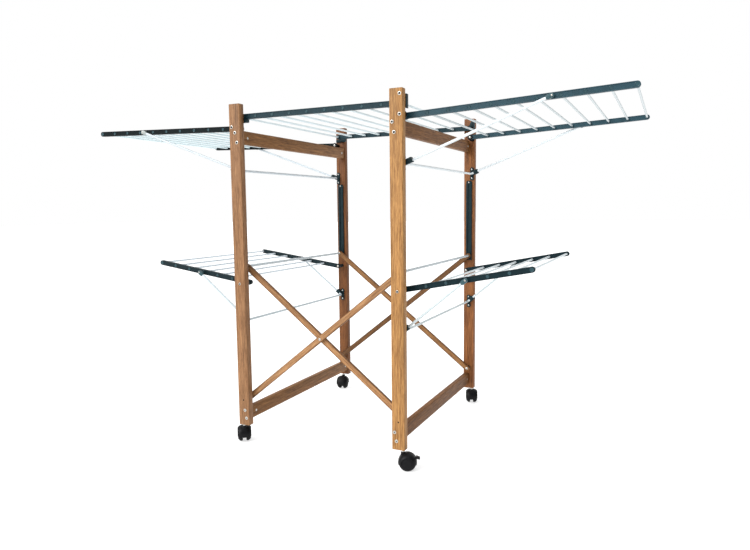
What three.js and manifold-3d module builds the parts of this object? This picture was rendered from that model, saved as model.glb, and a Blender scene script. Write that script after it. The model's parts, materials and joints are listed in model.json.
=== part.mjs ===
import * as THREE from 'three';
import { mergeVertices } from 'three/addons/utils/BufferGeometryUtils.js';
import Module from 'manifold-3d';

// Folding wooden clothes airer on casters, drawn open. Millimetres, Z up.
// X runs from the left end frame to the right one, Y from front to back.
const HALF_X = 281;          // centre to the outer X face of a post
const HALF_Y = 345;          // centre to the outer Y face of a post
const FOOT = 59;             // floor to the underside of the posts
const POST_H = 985;
const POST_W = 38;
const POST_T = 22;
const GAP = 0.3;             // running clearance between neighbouring parts

// Cross rails of the end frames: insets from the outer X face, heights over the post foot.
const RAIL_IN = 17.3;
const RAIL_OUT = 35.3;
const UPPER_RAIL = [867, 907];
const LOWER_RAIL = [18, 58];

// Depths from the outer Y face of a post, in layers.
const FACE = POST_T + GAP;
const TRACK_Y = [FACE, 27.5];
const SLAT_A_Y = [28, 37];
const SLAT_B_Y = [37.4, 46.4];
const STAY_Y = 34;
const UPPER_WING_Y = [38, 49];
const LOWER_WING_Y = [47, 58];
const SHELF_Y = [26.6, 37.4];

// X-braces.
const BRACE_INSET = 18.4;
const BRACE_LOW = 80;
const BRACE_HIGH = 495.7;
const SLAT_HALF = 8.7;
const TUBE_R = 4;
const TRACK_W = 20.5;
const TRACK_Z = [480, 766];
const SLOT_Z = [487, 757];

// Wings: hinge inset and height, arm length, rod pitch and count, tilt of each side.
const RAIL_HALF = 8;
const ROD_R = 3.2;
const UPPER = { inset: 8.5, z: 917, arm: 576, pitch: 57, rods: 10, stay: 386, drop: 127, y: UPPER_WING_Y };
const LOWER = { inset: 18.7, z: 445, arm: 357, pitch: 58.2, rods: 6, stay: 184, drop: 117, y: LOWER_WING_Y };
const TILT = { upper: { left: 1.7, right: 3 }, lower: { left: 8.5, right: 10.7 } };
const STAY_R = 3.7;
const PIN_R = 3;              // pivots of a stay in its wing's rails

// Middle shelf, hung from the right frame and resting on the left one.
const SHELF_Z = 949.5;
const SHELF_X = [18, 547];
const SHELF_RODS = 10;
const HANGER = { inset: 8, z: 970 };

// Casters.
const STEM_INSET = 9.5;      // stems stand outward of the cross rail's bolts
const STEM_R = 4;
const NECK_R = 6.5;
const NECK_TOP = 53;
const WHEEL_R = 24;
const WEB_HALF = 4.9;
// Half sections (radius, distance from the caster's middle).
const WHEEL = [
  [19, 5.2], [21.9, 5.7], [23.3, 6.9], [24, 8.8], [24, 11.2], [23.3, 14.4], [21.6, 17.6], [18.8, 20.2], [15, 21],
];
const WHEEL_ROOM = [[24.55, 4.9], [24.55, 12.8], [23.8, 16], [22, 18.9], [19.6, 22.4]];
const HOOD = [[26.6, 0], [26.6, 12], [25.8, 16.2], [23.8, 19.8], [21.5, 21.5]];
const HOOD_SPAN = [-12, 192];
const TRAIL = 12.5;
const HOOD_R = 26.6;
const BRAKE_AT = 28;         // degrees up the hood from level
const CASTERS = {
  front_left: 127, front_right: 20, back_left: 282, back_right: 107,
};

const WOOD = { color: 0xc08a55, roughness: 0.55, metalness: 0 };
const SLAT_WOOD = { color: 0xc99a66, roughness: 0.55, metalness: 0 };
const GREEN = { color: 0x1f4148, roughness: 0.45, metalness: 0 };
const WHITE = { color: 0xeef1f4, roughness: 0.35, metalness: 0 };
const BLACK = { color: 0x18191b, roughness: 0.5, metalness: 0 };
const STEEL = { color: 0xb9bcc0, roughness: 0.35, metalness: 0.9 };

const wasm = await Module();
wasm.setup();

const SIDES = { left: -1, right: 1 };
const ENDS = { front: -1, back: 1 };
const rad = (deg) => (deg * Math.PI) / 180;
const xAt = (side, inset) => SIDES[side] * (HALF_X - inset);
const yAt = (end, depth) => ENDS[end] * (HALF_Y - depth);
const zAt = (height) => height + FOOT;

// ---- closed solids -------------------------------------------------------

function solid(geometry) {
  const g = geometry.index ? geometry.clone() : geometry.clone();
  g.deleteAttribute('normal');
  g.deleteAttribute('uv');
  const m = mergeVertices(g, 1e-4);
  return new wasm.Manifold(new wasm.Mesh({
    numProp: 3,
    vertProperties: new Float32Array(m.attributes.position.array),
    triVerts: new Uint32Array(m.index.array),
  }));
}

function geometryOf(body) {
  const mesh = body.getMesh();
  const g = new THREE.BufferGeometry();
  g.setAttribute('position', new THREE.BufferAttribute(new Float32Array(mesh.vertProperties), 3));
  g.setIndex(new THREE.BufferAttribute(new Uint32Array(mesh.triVerts), 1));
  g.computeVertexNormals();
  return g;
}

function join(pieces, holes = []) {
  let body = solid(pieces[0]);
  for (const p of pieces.slice(1)) body = body.add(solid(p));
  for (const h of holes) body = body.subtract(solid(h));
  return geometryOf(body);
}

// Box between two opposite corners.
function block(a, b) {
  const size = a.map((v, i) => Math.abs(b[i] - v));
  const g = new THREE.BoxGeometry(size[0], size[1], size[2]);
  g.translate((a[0] + b[0]) / 2, (a[1] + b[1]) / 2, (a[2] + b[2]) / 2);
  return g;
}

// Round bar along Y at (x, z).
function round(x, z, y0, y1, r, sides = 12) {
  const g = new THREE.CylinderGeometry(r, r, Math.abs(y1 - y0), sides);
  g.translate(x, (y0 + y1) / 2, z);
  return g;
}

// Flat bar in the XZ plane from p to q with round ends, between depths y0 and y1.
function bar(p, q, half, y0, y1, steps = 6) {
  const u = new THREE.Vector3(q[0] - p[0], 0, q[1] - p[1]);
  const length = u.length();
  u.normalize();
  const shape = new THREE.Shape();
  for (let i = 0; i <= steps; i += 1) {
    const a = -Math.PI / 2 + (Math.PI * i) / steps;
    const at = [length + half * Math.cos(a), half * Math.sin(a)];
    if (i === 0) shape.moveTo(at[0], at[1]);
    else shape.lineTo(at[0], at[1]);
  }
  for (let i = 0; i <= steps; i += 1) {
    const a = Math.PI / 2 + (Math.PI * i) / steps;
    shape.lineTo(half * Math.cos(a), half * Math.sin(a));
  }
  return lay(shape, u, p, y0, y1);
}

// Box in the XZ plane, given along and across the direction from p.
function slab(p, angle, along, across, y0, y1) {
  const u = new THREE.Vector3(Math.cos(angle), 0, Math.sin(angle));
  const shape = new THREE.Shape();
  shape.moveTo(along[0], across[0]);
  shape.lineTo(along[1], across[0]);
  shape.lineTo(along[1], across[1]);
  shape.lineTo(along[0], across[1]);
  return lay(shape, u, p, y0, y1);
}

// Puts a flat shape, drawn along u, into the XZ plane at p and gives it depth.
function lay(shape, u, p, y0, y1) {
  const depth = Math.abs(y1 - y0);
  const g = new THREE.ExtrudeGeometry(shape, { depth, bevelEnabled: false });
  g.translate(0, 0, -depth / 2);
  const v = new THREE.Vector3(-u.z, 0, u.x);
  const w = new THREE.Vector3().crossVectors(u, v);
  g.applyMatrix4(new THREE.Matrix4().makeBasis(u, v, w));
  g.translate(p[0], (y0 + y1) / 2, p[1]);
  return g;
}

// Path whose steps are its own points, so that only the bends get short steps.
class BentPath extends THREE.Curve {
  constructor(points) {
    super();
    this.points = points;
  }

  getUtoTmapping(u) {
    return u;
  }

  getPoint(t, target = new THREE.Vector3()) {
    return target.copy(this.points[Math.round(t * (this.points.length - 1))]);
  }

  getTangent(t, target = new THREE.Vector3()) {
    const last = this.points.length - 1;
    const i = Math.round(t * last);
    const a = this.points[Math.max(i - 1, 0)];
    const b = this.points[Math.min(i + 1, last)];
    return target.copy(b).sub(a).normalize();
  }
}

// Corner points with each inner corner rounded to a radius.
function rounded(corners, radius, steps = 4) {
  const out = [corners[0].clone()];
  for (let i = 1; i < corners.length - 1; i += 1) {
    const c = corners[i];
    const a = corners[i - 1].clone().sub(c).normalize();
    const b = corners[i + 1].clone().sub(c).normalize();
    const turn = Math.PI - a.angleTo(b);
    const back = radius * Math.tan(turn / 2);
    const centre = a.clone().add(b).normalize().multiplyScalar(radius / Math.cos(turn / 2)).add(c);
    const from = a.multiplyScalar(back).add(c).sub(centre);
    const to = b.multiplyScalar(back).add(c).sub(centre);
    for (let k = 0; k <= steps; k += 1) {
      const f = k / steps;
      const p = from.clone().multiplyScalar(Math.sin((1 - f) * turn))
        .add(to.clone().multiplyScalar(Math.sin(f * turn)))
        .divideScalar(Math.sin(turn));
      out.push(p.add(centre));
    }
  }
  out.push(corners[corners.length - 1].clone());
  return out;
}

function tube(points, r, sides = 8) {
  const ring = new THREE.Shape();
  for (let i = 0; i < sides; i += 1) {
    const a = (2 * Math.PI * i) / sides;
    if (i === 0) ring.moveTo(r, 0);
    else ring.lineTo(r * Math.cos(a), r * Math.sin(a));
  }
  const path = new BentPath(points);
  return new THREE.ExtrudeGeometry(ring, {
    steps: points.length - 1, extrudePath: path, bevelEnabled: false,
  });
}

// ---- assembly ------------------------------------------------------------

const root = new THREE.Group();
root.name = 'clothes_drying_rack';

function place(name, geometry, look) {
  const mesh = new THREE.Mesh(geometry, new THREE.MeshStandardMaterial(look));
  mesh.name = name;
  root.add(mesh);
}

// Posts and cross rails of one end frame.
function frame(side) {
  for (const end of Object.keys(ENDS)) {
    place(`post_${end}_${side}`, block(
      [xAt(side, 0), yAt(end, 0), zAt(0)],
      [xAt(side, POST_W), yAt(end, POST_T), zAt(POST_H)],
    ), WOOD);
  }
  for (const [level, z] of [['upper', UPPER_RAIL], ['lower', LOWER_RAIL]]) {
    place(`crossrail_${level}_${side}`, block(
      [xAt(side, RAIL_IN), yAt('front', FACE), zAt(z[0])],
      [xAt(side, RAIL_OUT), yAt('back', FACE), zAt(z[1])],
    ), WOOD);
  }
}

// Grooved guide on the inner face of a post, in which the brace's top pin slides.
function track(side, end) {
  const x = xAt(side, BRACE_INSET);
  place(`track_${end}_${side}`, join([
    block([x - TRACK_W / 2, yAt(end, TRACK_Y[0]), zAt(TRACK_Z[0])],
      [x + TRACK_W / 2, yAt(end, TRACK_Y[1]), zAt(TRACK_Z[1])]),
  ], [
    block([x - 4.7, yAt(end, 24.4), zAt(SLOT_Z[0])], [x + 4.7, yAt(end, 30), zAt(SLOT_Z[1])]),
  ]), GREEN);
}

// One slat of an X-brace, with its bottom pivot boss, top pin and centre hole.
function slat(name, low, high, end, layer, look) {
  const p = [xAt(low, BRACE_INSET), zAt(BRACE_LOW)];
  const q = [xAt(high, BRACE_INSET), zAt(BRACE_HIGH)];
  const y = layer.map((d) => yAt(end, d));
  const mid = [(p[0] + q[0]) / 2, (p[1] + q[1]) / 2];
  place(name, join([
    bar(p, q, SLAT_HALF, y[0], y[1]),
    round(p[0], p[1], yAt(end, FACE), yAt(end, layer[0] + 1), 6),
    round(q[0], q[1], yAt(end, 24.8), yAt(end, layer[0] + 1), 4),
  ], [
    round(mid[0], mid[1], yAt(end, layer[0] - 1), yAt(end, layer[1] + 1), 3.3, 10),
  ]), look);
}

// A brace: front and back slats that turn together, and the tube between their tops.
function brace(name, low, high, layer) {
  for (const end of Object.keys(ENDS)) slat(`slat_${name}_${end}`, low, high, end, layer, SLAT_WOOD);
  place(`brace_tube_${name}`, round(
    xAt(high, BRACE_INSET),
    zAt(BRACE_HIGH),
    yAt('front', layer[1] + GAP),
    yAt('back', layer[1] + GAP),
    TUBE_R,
  ), WHITE);
}

// Bolt on which the two slats of one face cross.
function centreBolt(end) {
  const z = zAt((BRACE_LOW + BRACE_HIGH) / 2);
  place(`brace_bolt_${end}`, join([
    round(0, z, yAt(end, 24.6), yAt(end, SLAT_A_Y[0] - GAP), 7),
    round(0, z, yAt(end, 26), yAt(end, 49), 3, 10),
    round(0, z, yAt(end, SLAT_B_Y[1] + GAP), yAt(end, 50.5), 5.5, 6),
  ]), STEEL);
}

// Point at a distance along a wing from its hinge.
function wingPoint(level, side, t) {
  const w = level === 'upper' ? UPPER : LOWER;
  const a = rad(TILT[level][side]);
  return [
    xAt(side, w.inset) + SIDES[side] * t * Math.cos(a),
    zAt(w.z) + t * Math.sin(a),
  ];
}

function wingRail(level, side, end, w) {
  const p = wingPoint(level, side, 0);
  const q = wingPoint(level, side, w.arm);
  const s = wingPoint(level, side, w.stay);
  const y = w.y.map((d) => yAt(end, d));
  const pieces = [
    bar(p, q, RAIL_HALF, y[0], y[1]),
    round(p[0], p[1], yAt(end, FACE), yAt(end, w.y[0] + 1), 6),
  ];
  const socket = round(s[0], s[1], yAt(end, w.y[0] - 1), yAt(end, w.y[0] + 8), PIN_R + GAP, 10);
  return { pieces, socket };
}

// A wing: the front rail, and the back rail with the rods that it carries.
function wing(level, side) {
  const w = level === 'upper' ? UPPER : LOWER;
  const front = wingRail(level, side, 'front', w);
  place(`wing_${level}_${side}_rail`, join(front.pieces, [front.socket]), GREEN);
  const back = wingRail(level, side, 'back', w);
  const rods = [];
  for (let k = 0; k < w.rods; k += 1) {
    const c = wingPoint(level, side, w.arm - k * w.pitch);
    rods.push(round(c[0], c[1], yAt('front', w.y[1] + GAP), yAt('back', w.y[1] - 4), ROD_R, 8));
  }
  place(`wing_${level}_${side}_rods`, join([...back.pieces, ...rods], [back.socket]), WHITE);
}

function crossbarPoint(level, side) {
  const w = level === 'upper' ? UPPER : LOWER;
  return [xAt(side, w.inset), zAt(w.z - w.drop)];
}

// U-shaped stay of a wing: two legs on the wing's pivots, and the bar in the clips.
function stay(level, side) {
  const w = level === 'upper' ? UPPER : LOWER;
  const s = wingPoint(level, side, w.stay);
  const c = crossbarPoint(level, side);
  const at = (p, y) => new THREE.Vector3(p[0], y, p[1]);
  const run = rounded([
    at(s, yAt('front', STAY_Y)), at(c, yAt('front', STAY_Y)),
    at(c, yAt('back', STAY_Y)), at(s, yAt('back', STAY_Y)),
  ], 9);
  const pieces = [tube(run, STAY_R)];
  for (const end of Object.keys(ENDS)) {
    pieces.push(round(s[0], s[1], yAt(end, 30.4), yAt(end, 37.4), 6, 10));
    pieces.push(round(s[0], s[1], yAt(end, 33), yAt(end, w.y[0] + 7), PIN_R, 10));
  }
  place(`stay_${level}_${side}`, join(pieces), WHITE);
}

// Screwed plate with a cheek that the leg of a stay springs against, open above and below.
function clip(level, side, end) {
  const c = crossbarPoint(level, side);
  const s = wingPoint(level, side, level === 'upper' ? UPPER.stay : LOWER.stay);
  const angle = Math.atan2(s[1] - c[1], s[0] - c[0]);
  const face = yAt(end, FACE);
  place(`clip_${level}_${end}_${side}`, join([
    block([c[0] - 10, face, c[1] - 24], [c[0] + 10, yAt(end, 25), c[1] + 24]),
    slab(c, angle, [-6, 26], [-7.5, 7.5], face, yAt(end, 30)),
  ]), GREEN);
}

// Bracket on the left frame: ledge under the shelf rail, plate round the wing bolt.
function hook(end) {
  const x0 = xAt('left', 2);
  const x1 = xAt('left', 47);
  const top = zAt(SHELF_Z - RAIL_HALF - 0.4);
  place(`shelf_hook_${end}`, join([
    block([x0, yAt(end, FACE), zAt(930)], [xAt('left', 39), yAt(end, 25.9), top]),
    block([x0 + 20, yAt(end, FACE), zAt(931.5)], [x1, yAt(end, 37.4), top]),
  ]), GREEN);
}

function shelfRail(end) {
  const y = SHELF_Y.map((d) => yAt(end, d));
  const left = [SHELF_X[0] - HALF_X, zAt(SHELF_Z)];
  const right = [SHELF_X[1] - HALF_X, zAt(SHELF_Z)];
  const pin = [xAt('right', HANGER.inset), zAt(HANGER.z)];
  return [
    bar(left, right, RAIL_HALF, y[0], y[1]),
    bar(right, pin, 6.5, yAt(end, FACE), yAt(end, SHELF_Y[0] + 3)),
  ];
}

// Middle shelf: front rail with its hanger, and back rail with hanger and rods.
function shelf() {
  place('shelf_rail', join(shelfRail('front')), GREEN);
  const rods = [];
  for (let k = 0; k < SHELF_RODS; k += 1) {
    const x = SHELF_X[0] + ((SHELF_X[1] - SHELF_X[0]) * k) / (SHELF_RODS - 1) - HALF_X;
    rods.push(round(x, zAt(SHELF_Z), yAt('front', SHELF_Y[1] + GAP), yAt('back', SHELF_Y[1] - 4), ROD_R, 8));
  }
  place('shelf_rods', join([...shelfRail('back'), ...rods]), WHITE);
}

// Solid of revolution about an axis along Y through (x, z), from rings (radius, y).
function turned(x, z, rings, sides) {
  const points = [[x, rings[0][1], z], [x, rings[rings.length - 1][1], z]];
  for (const [r, y] of rings) {
    for (let i = 0; i < sides; i += 1) {
      const a = rad((360 * (i + 0.5)) / sides);
      points.push([x + r * Math.cos(a), y, z + r * Math.sin(a)]);
    }
  }
  const at = (k, i) => 2 + k * sides + (i % sides);
  const last = rings.length - 1;
  const faces = [];
  for (let i = 0; i < sides; i += 1) {
    faces.push(0, at(0, i), at(0, i + 1), 1, at(last, i + 1), at(last, i));
    for (let k = 0; k < last; k += 1) {
      faces.push(at(k, i), at(k + 1, i), at(k, i + 1), at(k, i + 1), at(k + 1, i), at(k + 1, i + 1));
    }
  }
  const g = new THREE.BufferGeometry();
  g.setAttribute('position', new THREE.BufferAttribute(new Float32Array(points.flat()), 3));
  g.setIndex(faces);
  return g;
}

// A half section on both sides of the caster's middle, in order of y.
function mirrored(section) {
  return [...section.map(([r, y]) => [r, -y]).reverse(), ...section.filter(([, y]) => y > 0)];
}

// Sector under the axle that the hood leaves open.
function openSector() {
  const shape = new THREE.Shape();
  const reach = 60;
  shape.moveTo(0, 0);
  shape.lineTo(reach * Math.cos(rad(HOOD_SPAN[1])), reach * Math.sin(rad(HOOD_SPAN[1])));
  shape.lineTo(-reach, -reach);
  shape.lineTo(reach, -reach);
  shape.lineTo(reach * Math.cos(rad(HOOD_SPAN[0])), reach * Math.sin(rad(HOOD_SPAN[0])));
  return shape;
}

// Twin-wheel caster drawn trailing toward +X from its stem at the origin.
function casterHousing() {
  const x = new THREE.Vector3(1, 0, 0);
  const axle = [TRAIL, WHEEL_R];
  const room = [...WHEEL_ROOM];
  const hood = join([turned(...axle, mirrored(HOOD), 36)], [lay(openSector(), x, axle, -30, 30)]);
  return join([
    hood,
    round(axle[0], axle[1], -WEB_HALF, WEB_HALF, 16, 18),
    block([TRAIL - 10, -WEB_HALF, WHEEL_R], [TRAIL + 10, WEB_HALF, WHEEL_R + HOOD_R - 1.5]),
    block([-6, -WEB_HALF, WHEEL_R - 4], [TRAIL, WEB_HALF, NECK_TOP - 6]),
    upright(NECK_R, 40, NECK_TOP),
    upright(STEM_R, NECK_TOP - 3, FOOT - GAP),
  ], [
    round(axle[0], axle[1], -8, 8, 4.3, 12),
    turned(...axle, room, 36),
    turned(...axle, room.map(([r, y]) => [r, -y]).reverse(), 36),
  ]);
}

function upright(r, z0, z1) {
  const g = new THREE.CylinderGeometry(r, r, z1 - z0, 14);
  g.rotateX(Math.PI / 2);
  g.translate(0, 0, (z0 + z1) / 2);
  return g;
}

function casterWheels() {
  return join([
    turned(TRAIL, WHEEL_R, WHEEL, 36),
    turned(TRAIL, WHEEL_R, WHEEL.map(([r, y]) => [r, -y]).reverse(), 36),
    round(TRAIL, WHEEL_R, -6, 6, 4, 12),
  ]);
}

// Foot-operated tab over the outer edge of the hood.
function brakeLever() {
  const r = HOOD_R + 2.5;
  const pin = [TRAIL + r * Math.cos(rad(BRAKE_AT)), WHEEL_R + r * Math.sin(rad(BRAKE_AT))];
  return join([
    slab(pin, rad(-17), [0, 9.5], [-1.6, 1.6], -9, 9),
    round(pin[0], pin[1], -9, 9, 2.1, 10),
  ]);
}

function caster(corner, turn) {
  const [end, side] = corner.split('_');
  const set = (g) => {
    g.rotateZ(rad(turn));
    g.translate(xAt(side, STEM_INSET), yAt(end, POST_T / 2), 0);
    return g;
  };
  place(`caster_${corner}`, set(casterHousing()), BLACK);
  place(`wheels_${corner}`, set(casterWheels()), BLACK);
  if (corner === 'front_right') place('brake_lever', set(brakeLever()), BLACK);
}

for (const side of Object.keys(SIDES)) {
  frame(side);
  for (const level of ['upper', 'lower']) {
    wing(level, side);
    stay(level, side);
  }
  for (const end of Object.keys(ENDS)) {
    track(side, end);
    clip('upper', side, end);
    clip('lower', side, end);
  }
}
brace('a', 'left', 'right', SLAT_A_Y);
brace('b', 'right', 'left', SLAT_B_Y);
for (const end of Object.keys(ENDS)) {
  centreBolt(end);
  hook(end);
}
shelf();
for (const [corner, turn] of Object.entries(CASTERS)) caster(corner, turn);

export default root;
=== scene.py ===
"""Folding wooden clothes airer, open, on casters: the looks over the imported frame."""
import json
import math
import random

import bmesh
import bpy
from mathutils import Matrix, Vector


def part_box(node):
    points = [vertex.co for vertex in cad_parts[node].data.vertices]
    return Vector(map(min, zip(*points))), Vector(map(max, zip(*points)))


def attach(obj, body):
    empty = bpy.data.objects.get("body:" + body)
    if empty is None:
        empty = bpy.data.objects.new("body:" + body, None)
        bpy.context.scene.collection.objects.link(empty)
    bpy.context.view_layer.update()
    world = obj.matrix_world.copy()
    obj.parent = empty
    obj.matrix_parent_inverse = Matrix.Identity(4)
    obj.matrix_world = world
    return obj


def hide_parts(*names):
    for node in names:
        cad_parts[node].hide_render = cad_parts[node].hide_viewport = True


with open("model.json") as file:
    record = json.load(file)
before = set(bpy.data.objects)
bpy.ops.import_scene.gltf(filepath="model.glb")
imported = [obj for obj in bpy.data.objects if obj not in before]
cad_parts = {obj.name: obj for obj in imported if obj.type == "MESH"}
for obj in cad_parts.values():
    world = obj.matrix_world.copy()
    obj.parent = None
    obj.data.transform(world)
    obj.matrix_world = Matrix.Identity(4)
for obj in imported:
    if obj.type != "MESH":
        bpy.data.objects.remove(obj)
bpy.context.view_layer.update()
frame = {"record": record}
MM = 0.001

# The side or end of the rack, and the sign of its X or Y.
SIDES = {"left": -1, "right": 1}
ENDS = {"front": -1, "back": 1}
JOINTS = {j["name"]: j for j in frame["record"]["behaviour"]["joints"]}

# ---- measures, in metres, taken from the frame where it has them ------------

POST_LOW, POST_HIGH = (Vector(v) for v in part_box("post_front_right"))
HALF_X = POST_HIGH.x
HALF_Y = -POST_LOW.y
FOOT = POST_LOW.z
POST_T = POST_HIGH.y - POST_LOW.y
GAP = 0.3 * MM

# Depths of the layers behind a post's outer face. Fittings stand just off its inner face, and
# a slider is the pin at a slat's top, which runs in the track.
FITTING_Y = 22.3 * MM
TRACK_Y = (POST_T + GAP, 27.5 * MM)
TRACK_FLOOR_Y = 24.3 * MM
SLAT_A_Y = (28 * MM, 37 * MM)
SLAT_B_Y = (37.4 * MM, 46.4 * MM)
SLIDER_Y = (25.2 * MM, 24.8 * MM)
STAY_Y = 34 * MM
SHELF_Y = (26.6 * MM, 37.4 * MM)
BRACKET_Y = 37.5 * MM
HOOK_Y = (25.9 * MM, 37.4 * MM)
RAIL_BOLT_Y = 42 * MM
CLIP_Y = {"face": FITTING_Y, "plate": 25 * MM, "cheek": 30 * MM, "lip": 37.74 * MM,
          "edge": 37.94 * MM}

RAIL_HALF = 8 * MM
ROD_R = 3.2 * MM
STAY_R = 3.7 * MM
STAY_BEND = 9 * MM
SLEEVE_SIZE = (10 * MM, 6 * MM)
SLEEVE_HALF = 3.9 * MM
SLAT_HALF = 8.7 * MM
SLAT_EDGE = 3 * MM
BUSH_R = 6 * MM
SLIDER_R = (4 * MM, 3.4 * MM)
TUBE_R = 4 * MM
BRACE_INSET = 18.4 * MM
BRACE_HIGH = 495.7 * MM
TRACK_Z = (480 * MM, 766 * MM)
TRACK_W = 20.5 * MM
TRACK_SLOT = 9.4 * MM
TRACK_CROWN = 7 * MM

# Along a wing from its hinge: the last rod, the pitch and number of the rods, the stay's
# pivot. Then the stay's crossbar below the hinge, the rails' depths, the hinge cap's radius.
WINGS = {
    "upper": {"arm": 576 * MM, "pitch": 57 * MM, "rods": 10, "stay": 386 * MM,
              "drop": 127 * MM, "y": (38 * MM, 49 * MM), "cap": 9.4 * MM},
    "lower": {"arm": 357 * MM, "pitch": 58.2 * MM, "rods": 6, "stay": 184 * MM,
              "drop": 117 * MM, "y": (47 * MM, 58 * MM), "cap": 7.2 * MM},
}
# How far each wing rises from its hinge, in degrees.
TILT = {
    "upper": {"left": 1.7, "right": 3.0},
    "lower": {"left": 8.5, "right": 10.7},
}
SHELF_Z = 949.5 * MM
SHELF_X = (18 * MM, 547 * MM)
SHELF_RODS = 10
HANGER_HALF = 6.5 * MM
BRACKET_X = (-2 * MM, 1.1 * MM)
BRACKET_Z = (935 * MM, 972 * MM)

# A hook's plate and tab: insets of the plate's start, the tab's start, the plate's end and
# the tab's end, and then how low the plate and the tab reach.
HOOK_X = (2 * MM, 22 * MM, 39 * MM, 47 * MM)
HOOK_Z = (930 * MM, 931.5 * MM)

STEM_INSET = 9.5 * MM
WHEEL_R = 24 * MM
TRAIL = 12.5 * MM
HOOD_R = 26.6 * MM
HOOD_SPAN = (-12, 192)
WEB_HALF = 4.9 * MM
BRAKE_AT = 28
BRAKE_TILT = -17
BRAKE_HALF = 9 * MM

# Casters and the way that each one trails, in degrees.
CASTERS = {"front_left": 127, "front_right": 20, "back_left": 282, "back_right": 107}

# Screws on the outer face of the posts, in mm: inset from the outer edge, height over the
# foot. Three heights tell them apart: the lower wing's small screw, the hole over the slat's
# bolt, drawn as a black disc of painted shade, and the height below which the heads have a
# small socket.
LOWER_WING_SCREW = 445
SLAT_HOLE = 80
LOW_SCREWS = 60
SCREWS = {
    "left": [(8.5, 917), (20, 900), (26, 871), (18.7, LOWER_WING_SCREW), (18.4, SLAT_HOLE),
             (23, 48), (28, 23)],
    "right": [(8, 970), (8.5, 917), (30, 898), (24.5, 871), (18.7, LOWER_WING_SCREW),
              (18.4, SLAT_HOLE), (30, 50), (24.5, 25)],
}

# How finely round shapes are cut, and the angle past which an edge is drawn sharp.
END_STEPS = 12
BEND_STEPS = 8
CROWN_STEPS = 5
HOOD_STEPS = 30
TUBE_LIP = 0.35
SHARP_ANGLE = math.radians(35)


def x_at(side, inset):
    return SIDES[side] * (HALF_X - inset)


def y_at(end, depth):
    return ENDS[end] * (HALF_Y - depth)


def z_at(height):
    return height + FOOT


# ---- materials ----------------------------------------------------------------


def new_material(name):
    mat = bpy.data.materials.new(name)
    mat.use_nodes = True
    tree = mat.node_tree
    return mat, tree, tree.nodes["Principled BSDF"]


def object_coords(tree, scale, offset=(0, 0, 0)):
    coords = tree.nodes.new("ShaderNodeTexCoord")
    mapping = tree.nodes.new("ShaderNodeMapping")
    mapping.inputs["Scale"].default_value = scale
    mapping.inputs["Location"].default_value = offset
    tree.links.new(coords.outputs["Object"], mapping.inputs["Vector"])
    return mapping.outputs["Vector"]


def noise(tree, vector, scale, detail=4, rough=0.5, distortion=0.0):
    node = tree.nodes.new("ShaderNodeTexNoise")
    node.inputs["Scale"].default_value = scale
    node.inputs["Detail"].default_value = detail
    node.inputs["Roughness"].default_value = rough
    node.inputs["Distortion"].default_value = distortion
    tree.links.new(vector, node.inputs["Vector"])
    return node.outputs["Fac"]


def ramp(tree, value, stops):
    node = tree.nodes.new("ShaderNodeValToRGB")
    elements = node.color_ramp.elements
    while len(elements) < len(stops):
        elements.new(0.5)
    for element, (at, colour) in zip(elements, stops):
        element.position = at
        element.color = (*colour, 1)
    tree.links.new(value, node.inputs["Fac"])
    return node.outputs["Color"]


def mix(tree, factor, a, b, mode="MIX"):
    node = tree.nodes.new("ShaderNodeMix")
    node.data_type = "RGBA"
    node.blend_type = mode
    if isinstance(factor, float):
        node.inputs["Factor"].default_value = factor
    else:
        tree.links.new(factor, node.inputs["Factor"])
    tree.links.new(a, node.inputs["A"])
    tree.links.new(b, node.inputs["B"])
    return node.outputs["Result"]


def remap(tree, value, low, high):
    node = tree.nodes.new("ShaderNodeMapRange")
    node.inputs["To Min"].default_value = low
    node.inputs["To Max"].default_value = high
    tree.links.new(value, node.inputs["Value"])
    return node.outputs["Result"]


def bump(tree, bsdf, height, strength, distance):
    node = tree.nodes.new("ShaderNodeBump")
    node.inputs["Strength"].default_value = strength
    node.inputs["Distance"].default_value = distance
    tree.links.new(height, node.inputs["Height"])
    tree.links.new(node.outputs["Normal"], bsdf.inputs["Normal"])


def shade(colour, k):
    return tuple(c * k for c in colour)


# Ramp stops of the timber: fibres, pores, and a slat's painted shade, a little lighter in its
# middle and darker toward its rounded edges.
FIBRE_STOPS = [(0.33, (0.30, 0.22, 0.16)), (0.46, (0.74, 0.68, 0.62)),
               (0.56, (1.04, 1.04, 1.04)), (0.68, (1.38, 1.37, 1.33))]
PORE_STOPS = [(0.36, (0.50, 0.42, 0.36)), (0.47, (1, 1, 1))]
EDGE_SHADE_STOPS = [(0.0, (1.08, 1.08, 1.08)), (0.9, (0.60, 0.53, 0.45))]
EDGE_SHADE_FROM = 0.6


def painted_edge_shade(tree, colour, half):
    """Painted shade: darkens a slat toward its two long edges, where its rounded profile turns
    from the light, and lightens its middle a little.
    """
    coords = tree.nodes.new("ShaderNodeTexCoord")
    split = tree.nodes.new("ShaderNodeSeparateXYZ")
    tree.links.new(coords.outputs["Object"], split.inputs[0])
    across = tree.nodes.new("ShaderNodeMath")
    across.operation = "ABSOLUTE"
    tree.links.new(split.outputs["Z"], across.inputs[0])
    reach = tree.nodes.new("ShaderNodeMapRange")
    reach.inputs["From Min"].default_value = half * EDGE_SHADE_FROM
    reach.inputs["From Max"].default_value = half
    tree.links.new(across.outputs[0], reach.inputs["Value"])
    edge_shade = ramp(tree, reach.outputs["Result"], EDGE_SHADE_STOPS)
    return mix(tree, 1.0, colour, edge_shade, "MULTIPLY")


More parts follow.
